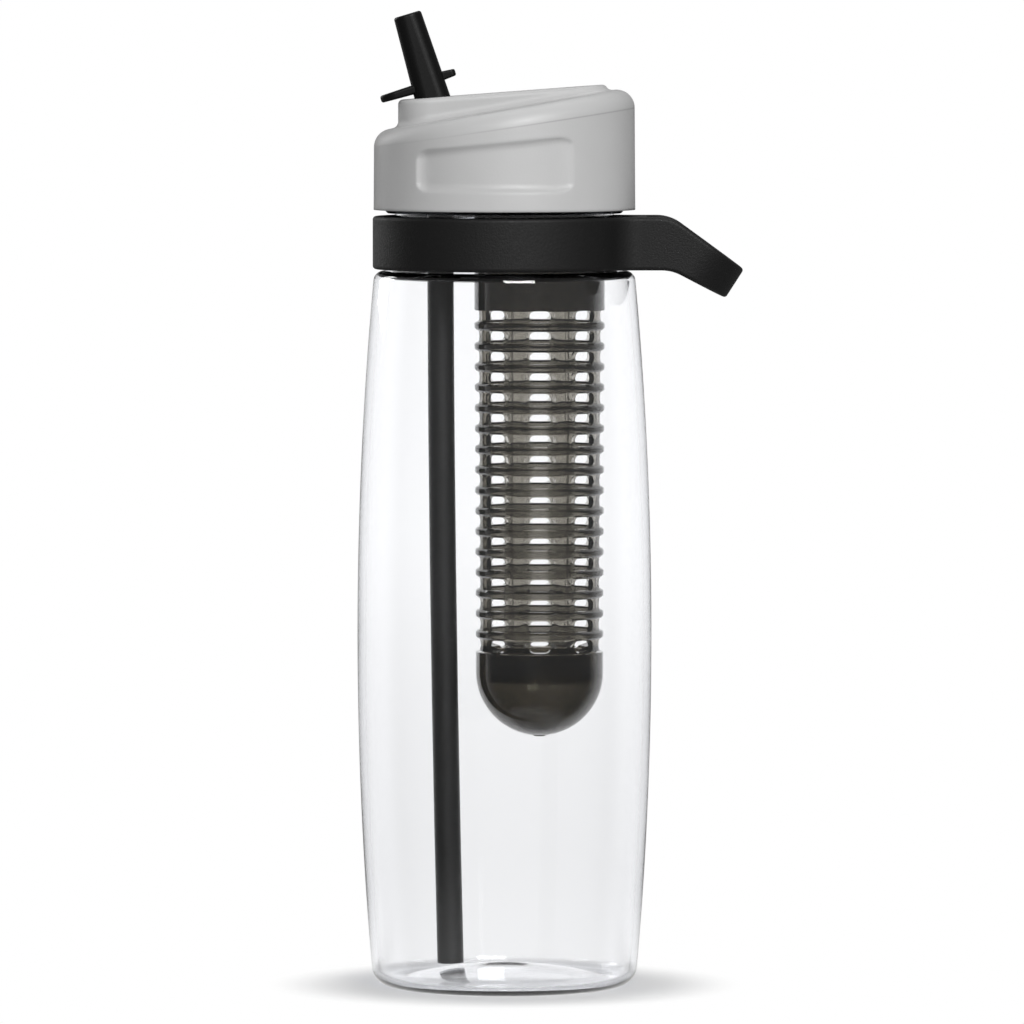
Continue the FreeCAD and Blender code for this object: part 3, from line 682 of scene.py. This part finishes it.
class BOTTLE_OT_spout(bpy.types.Operator):
    """Finish the spout and the straw"""

    bl_idname = "infuser_bottle.spout"
    bl_label = "Spout and straw"

    def execute(self, context):
        colours = context.scene.bottle_colours
        # Soft satin: the lamp shows only as a dim streak
        satin = moulded_plastic(
            "black_polyethylene_satin",
            colours.spout_black,
            grain=0.5 * MM,
            depth=0.02 * MM,
            smoothest=0.36,
            roughest=0.5,
            specular=0.15,
        )
        dress("spout", satin)
        # Drawn tube: a waxy skin, a little brighter than the spout's
        drawn = moulded_plastic(
            "black_polyethylene_drawn",
            colours.straw_black,
            grain=0.8 * MM,
            depth=0.02 * MM,
            smoothest=0.35,
            roughest=0.5,
            specular=0.35,
        )
        dress("straw", drawn)
        return {"FINISHED"}


class BOTTLE_OT_seals(bpy.types.Operator):
    """Finish the silicone seals"""

    bl_idname = "infuser_bottle.seals"
    bl_label = "Seals"

    def execute(self, context):
        colours = context.scene.bottle_colours
        # Pressed rubber: milky and dull
        milky = moulded_plastic(
            "milky_silicone",
            colours.silicone_white,
            grain=0.6 * MM,
            depth=0.01 * MM,
            smoothest=0.5,
            roughest=0.6,
        )
        for node in ("lid_gasket", "spout_seal", "vent_valve"):
            dress(node, milky)
        return {"FINISHED"}


def soft_box(name, place, aim, width, height, power):
    """Rectangular lamp that faces a point."""
    lamp = bpy.data.lights.new(name, "AREA")
    lamp.shape = "RECTANGLE"
    lamp.size = width
    lamp.size_y = height
    lamp.energy = power
    box = bpy.data.objects.new(name, lamp)
    box.location = place
    box.rotation_euler = (Vector(aim) - Vector(place)).to_track_quat("-Z", "Y").to_euler()
    bpy.context.scene.collection.objects.link(box)


def white_for_sight(tree):
    """1 for rays that look at the stage, also through clear walls, and 0 for rays that light pieces."""
    path = add(tree, "LightPath")
    looks = add(
        tree,
        "Math",
        {"operation": "ADD", "use_clamp": True},
        links={0: path.outputs["Is Camera Ray"], 1: path.outputs["Is Transmission Ray"]},
    )
    lit = add(tree, "Math", {"operation": "LESS_THAN"}, {1: 0.5}, {0: path.outputs["Diffuse Depth"]})
    return add(tree, "Math", {"operation": "MULTIPLY"}, links={0: looks.outputs[0], 1: lit.outputs[0]})


def white_behind(tree, towards, studio):
    """White for sight, more through clear walls, and dim in mirror images of the camera's side."""
    path = add(tree, "LightPath")
    turned = add(
        tree, "Math", {"operation": "GREATER_THAN"}, {1: 0.5}, {0: path.outputs["Glossy Depth"]}
    )
    heading = add(tree, "VectorMath", {"operation": "NORMALIZE"}, links={0: towards})
    split = add(tree, "SeparateXYZ", links={0: heading.outputs[0]})
    side = add(
        tree,
        "MapRange",
        {"interpolation_type": "SMOOTHSTEP"},
        {"From Min": 0.1, "From Max": 0.6, "To Min": 1.0, "To Max": 0.0},
        {"Value": split.outputs["Y"]},
    )
    dim = add(tree, "Math", {"operation": "MULTIPLY"}, links={0: side.outputs[0], 1: turned.outputs[0]})
    level = add(tree, "Math", {"operation": "SUBTRACT"}, {0: studio.overexposure}, {1: dim.outputs[0]})
    through = path.outputs["Is Transmission Ray"]
    return add(tree, "Math", {"operation": "MULTIPLY_ADD"}, {2: 1.0}, {0: level.outputs[0], 1: through})


class BOTTLE_OT_stage(bpy.types.Operator):
    """Set the floor, the lamps, the white surround and the camera"""

    bl_idname = "infuser_bottle.stage"
    bl_label = "Stage"

    def execute(self, context):
        scene = context.scene
        studio = scene.bottle_studio
        scene.view_settings.view_transform = "Standard"

        camera = bpy.data.cameras.new("camera")
        camera.sensor_width = 36.0
        camera.lens = studio.lens
        camera.clip_end = 100.0
        stand = bpy.data.objects.new("camera", camera)
        stand.location = (studio.camera_side, -studio.camera_distance, studio.camera_height)
        aim = Vector((studio.camera_side, 0, studio.aim_height))
        stand.rotation_euler = (aim - stand.location).to_track_quat("-Z", "Y").to_euler()
        scene.collection.objects.link(stand)
        scene.camera = stand

        bm = bmesh.new()
        bmesh.ops.create_circle(bm, cap_ends=True, segments=96, radius=studio.floor_radius)
        floor = finish_mesh("floor", bm, math.pi)
        floor.data.materials.append(pale_floor(studio))

        world = bpy.data.worlds.new("white_surround")
        world.use_nodes = True
        world.node_tree.nodes.clear()
        tree = world.node_tree
        sight = white_for_sight(tree)
        where = add(tree, "TexCoord")
        white = white_behind(tree, where.outputs["Generated"], studio)
        level = add(
            tree, "Mix", values={2: studio.room_light}, links={0: sight.outputs[0], 3: white.outputs[0]}
        )
        glow = add(
            tree, "Background", values={"Color": (1, 1, 1, 1)}, links={"Strength": level.outputs[0]}
        )
        out = add(tree, "OutputWorld")
        tree.links.new(glow.outputs[0], out.inputs["Surface"])
        scene.world = world

        # Sizes and places in metres, power in watts
        soft_box("front_box", (0.33, -1.3, 0.98), (0, 0, 0.2), width=0.7, height=0.7, power=27.0)
        soft_box("overhead_box", (0.0, 0.3, 1.1), (0, 0, 0.1), width=0.8, height=0.8, power=3.5)
        soft_box("rim_box", (-0.8, 0.8, 0.5), (0, 0, 0.2), width=0.3, height=0.6, power=2.5)
        return {"FINISHED"}


def pale_floor(studio):
    """White sweep: keeps the shadow near the bottle and is plain white away from it."""
    material, tree, out = blank("white_paper_sweep")
    where = add(tree, "TexCoord")
    far = add(tree, "VectorMath", {"operation": "LENGTH"}, links={0: where.outputs["Object"]})
    away = add(
        tree,
        "MapRange",
        {"interpolation_type": "SMOOTHSTEP"},
        {"From Min": studio.shade_start, "From Max": studio.shade_end},
        {"Value": far.outputs["Value"]},
    )
    # Through the bottle's lower half the near part of the sweep shows a little darker than its far part
    fall = add(
        tree,
        "MapRange",
        {"interpolation_type": "SMOOTHSTEP"},
        {
            "From Min": studio.sweep_start,
            "From Max": studio.sweep_end,
            "To Min": studio.sweep_fall,
            "To Max": 0.0,
        },
        {"Value": far.outputs["Value"]},
    )
    path = add(tree, "LightPath")
    lost = add(
        tree,
        "Math",
        {"operation": "MULTIPLY"},
        links={0: fall.outputs[0], 1: path.outputs["Is Transmission Ray"]},
    )
    behind = white_behind(tree, where.outputs["Object"], studio)
    level = add(
        tree, "Math", {"operation": "SUBTRACT"}, links={0: behind.outputs[0], 1: lost.outputs[0]}
    )
    paper = add(tree, "BsdfDiffuse", values={"Color": opaque(studio.floor_white)})
    white = add(tree, "Emission", values={"Color": (1, 1, 1, 1)}, links={"Strength": level.outputs[0]})
    seen = add(tree, "MixShader", links={0: away.outputs[0], 1: paper.outputs[0], 2: white.outputs[0]})
    sight = white_for_sight(tree)
    # In mirror images the floor is white under the heel and fades to the room, so that the gloss shows
    # no horizon
    shine = add(
        tree,
        "MapRange",
        {"interpolation_type": "SMOOTHSTEP"},
        {
            "From Min": studio.gleam_start,
            "From Max": studio.gleam_end,
            "To Min": studio.gleam,
            "To Max": studio.room_light,
        },
        {"Value": far.outputs["Value"]},
    )
    room = add(tree, "Emission", values={"Color": (1, 1, 1, 1)}, links={"Strength": shine.outputs[0]})
    other = add(
        tree,
        "MixShader",
        links={0: path.outputs["Is Glossy Ray"], 1: paper.outputs[0], 2: room.outputs[0]},
    )
    mix = add(tree, "MixShader", links={0: sight.outputs[0], 1: other.outputs[0], 2: seen.outputs[0]})
    tree.links.new(mix.outputs[0], out.inputs["Surface"])
    return material


class VIEW3D_PT_infuser_bottle(bpy.types.Panel):
    """Steps that dress the bottle"""

    bl_idname = "VIEW3D_PT_infuser_bottle"
    bl_label = "Infuser Bottle"
    bl_space_type = "VIEW_3D"
    bl_region_type = "UI"
    bl_category = "Infuser Bottle"

    def draw(self, context):
        for operator in OPERATORS:
            self.layout.operator(operator.bl_idname)
        for group_name in GROUPS:
            group = getattr(context.scene, group_name)
            box = self.layout.box()
            for name in group.bl_rna.properties.keys():
                if name not in ("rna_type", "name"):
                    box.prop(group, name)


GROUPS = {
    "bottle_shape": BottleShape,
    "bottle_colours": BottleColours,
    "bottle_marks": MouldMarks,
    "bottle_studio": StudioSetup,
}
OPERATORS = (
    BOTTLE_OT_stage,
    BOTTLE_OT_clear_body,
    BOTTLE_OT_infuser,
    BOTTLE_OT_lid,
    BOTTLE_OT_carry_ring,
    BOTTLE_OT_spout,
    BOTTLE_OT_seals,
)
CLASSES = (*GROUPS.values(), *OPERATORS, VIEW3D_PT_infuser_bottle)


def register():
    """Adds the classes and the scene's settings."""
    for item in CLASSES:
        bpy.utils.register_class(item)
    for name, group in GROUPS.items():
        setattr(bpy.types.Scene, name, PointerProperty(type=group))


def unregister():
    """Takes the scene's settings and the classes out again."""
    for name in GROUPS:
        delattr(bpy.types.Scene, name)
    for item in reversed(CLASSES):
        bpy.utils.unregister_class(item)


def main():
    """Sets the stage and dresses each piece."""
    register()
    steps = bpy.ops.infuser_bottle
    steps.stage()
    steps.clear_body()
    steps.infuser()
    steps.lid()
    steps.carry_ring()
    steps.spout()
    steps.seals()


if __name__ == "__main__":
    main()
